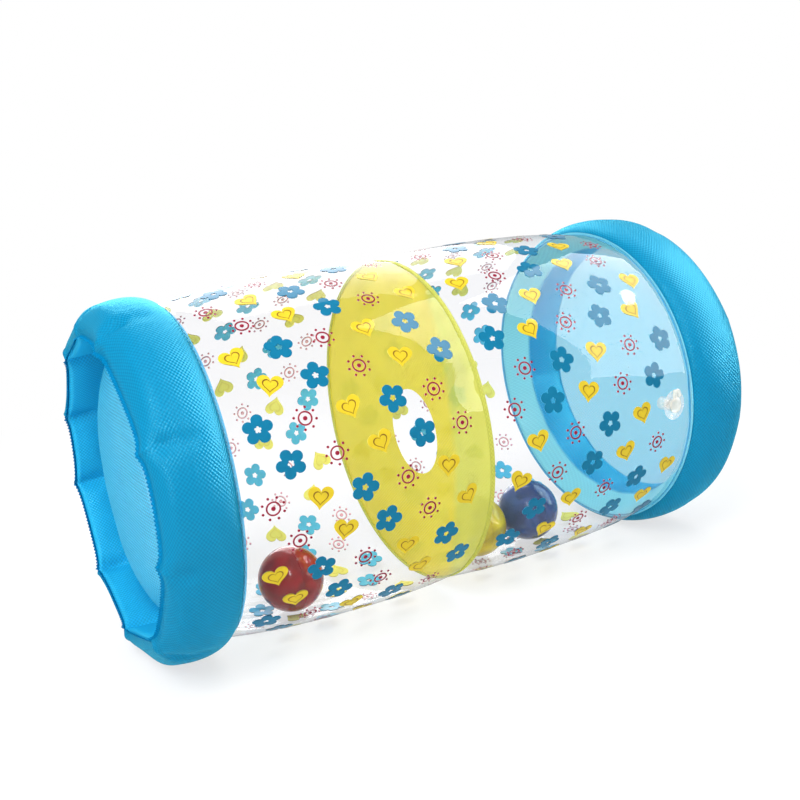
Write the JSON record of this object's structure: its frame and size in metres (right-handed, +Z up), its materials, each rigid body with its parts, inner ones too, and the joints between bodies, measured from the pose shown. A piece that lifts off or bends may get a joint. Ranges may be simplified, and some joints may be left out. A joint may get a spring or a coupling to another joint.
{
  "type": "inflatable baby crawling roller",
  "caption": "Inflatable crawling roller: clear chambered barrel with a holed partition, pleated end rings, air valves and loose bell balls inside.",
  "frame": {"origin": "point on the floor below the middle of the roller", "axes": "+X along the roller's axis towards the end that carries the barrel valve, +Z up, -Y the side that the barrel valve faces"},
  "size_m": [0.4206, 0.228, 0.228],
  "materials": {
    "clear_film": "clear flexible vinyl film",
    "yellow_film": "translucent embossed vinyl film",
    "blue_film": "embossed vinyl film with a soft gloss",
    "pale_blue_film": "translucent embossed vinyl film",
    "red_plastic": "translucent moulded plastic",
    "yellow_plastic": "translucent moulded plastic",
    "blue_plastic": "translucent moulded plastic",
    "valve_plastic": "soft clear vinyl moulding",
    "bell_metal": "nickel-plated bell"
  },
  "bodies": {
    "roller": {"left_barrel_film": "clear_film", "right_barrel_film": "clear_film", "centre_partition": "yellow_film", "left_end_wall": "pale_blue_film", "right_end_wall": "pale_blue_film", "left_ring_outer_film": "blue_film", "left_ring_inner_film": "blue_film", "right_ring_outer_film": "blue_film", "right_ring_inner_film": "blue_film", "barrel_valve_stem": "valve_plastic", "left_ring_valve_stem": "valve_plastic", "right_ring_valve_stem": "valve_plastic"},
    "barrel_plug": {"barrel_valve_plug": "valve_plastic"},
    "left_ring_plug": {"left_ring_valve_plug": "valve_plastic"},
    "right_ring_plug": {"right_ring_valve_plug": "valve_plastic"},
    "red_ball": {"red_ball_left_half": "red_plastic", "red_ball_right_half": "red_plastic"},
    "red_bell": {"red_ball_bell": "bell_metal", "red_bell_pellet": "bell_metal"},
    "yellow_ball": {"yellow_ball_left_half": "yellow_plastic", "yellow_ball_right_half": "yellow_plastic"},
    "yellow_bell": {"yellow_ball_bell": "bell_metal", "yellow_bell_pellet": "bell_metal"},
    "blue_ball": {"blue_ball_left_half": "blue_plastic", "blue_ball_right_half": "blue_plastic"},
    "blue_bell": {"blue_ball_bell": "bell_metal", "blue_bell_pellet": "bell_metal"}
  },
  "joints": [
    {"name": "barrel_plug_pull", "type": "slide", "parent": "roller", "child": "barrel_plug", "axis": [0.1426, -0.9898, 0], "range_m": [0, 0.009]},
    {"name": "left_ring_plug_pull", "type": "slide", "parent": "roller", "child": "left_ring_plug", "axis": [0, 1, 0], "range_m": [0, 0.007]},
    {"name": "right_ring_plug_pull", "type": "slide", "parent": "roller", "child": "right_ring_plug", "axis": [0, 1, 0], "range_m": [0, 0.007]},
    {"name": "red_ball_roll", "type": "hinge", "parent": "roller", "child": "red_ball", "pos_m": [-0.096, 0, 0.11401], "axis": [1, 0, 0], "continuous": true},
    {"name": "yellow_ball_roll", "type": "hinge", "parent": "roller", "child": "yellow_ball", "pos_m": [0.052, 0, 0.11401], "axis": [1, 0, 0], "continuous": true},
    {"name": "blue_ball_roll", "type": "hinge", "parent": "roller", "child": "blue_ball", "pos_m": [0.098, 0, 0.11401], "axis": [1, 0, 0], "continuous": true},
    {"name": "red_bell_roll", "type": "hinge", "parent": "red_ball", "child": "red_bell", "pos_m": [-0.096, 0, 0.02475], "axis": [1, 0, 0], "continuous": true},
    {"name": "yellow_bell_roll", "type": "hinge", "parent": "yellow_ball", "child": "yellow_bell", "pos_m": [0.052, 0, 0.02379], "axis": [1, 0, 0], "continuous": true},
    {"name": "blue_bell_roll", "type": "hinge", "parent": "blue_ball", "child": "blue_bell", "pos_m": [0.098, 0, 0.02483], "axis": [1, 0, 0], "continuous": true}
  ]
}
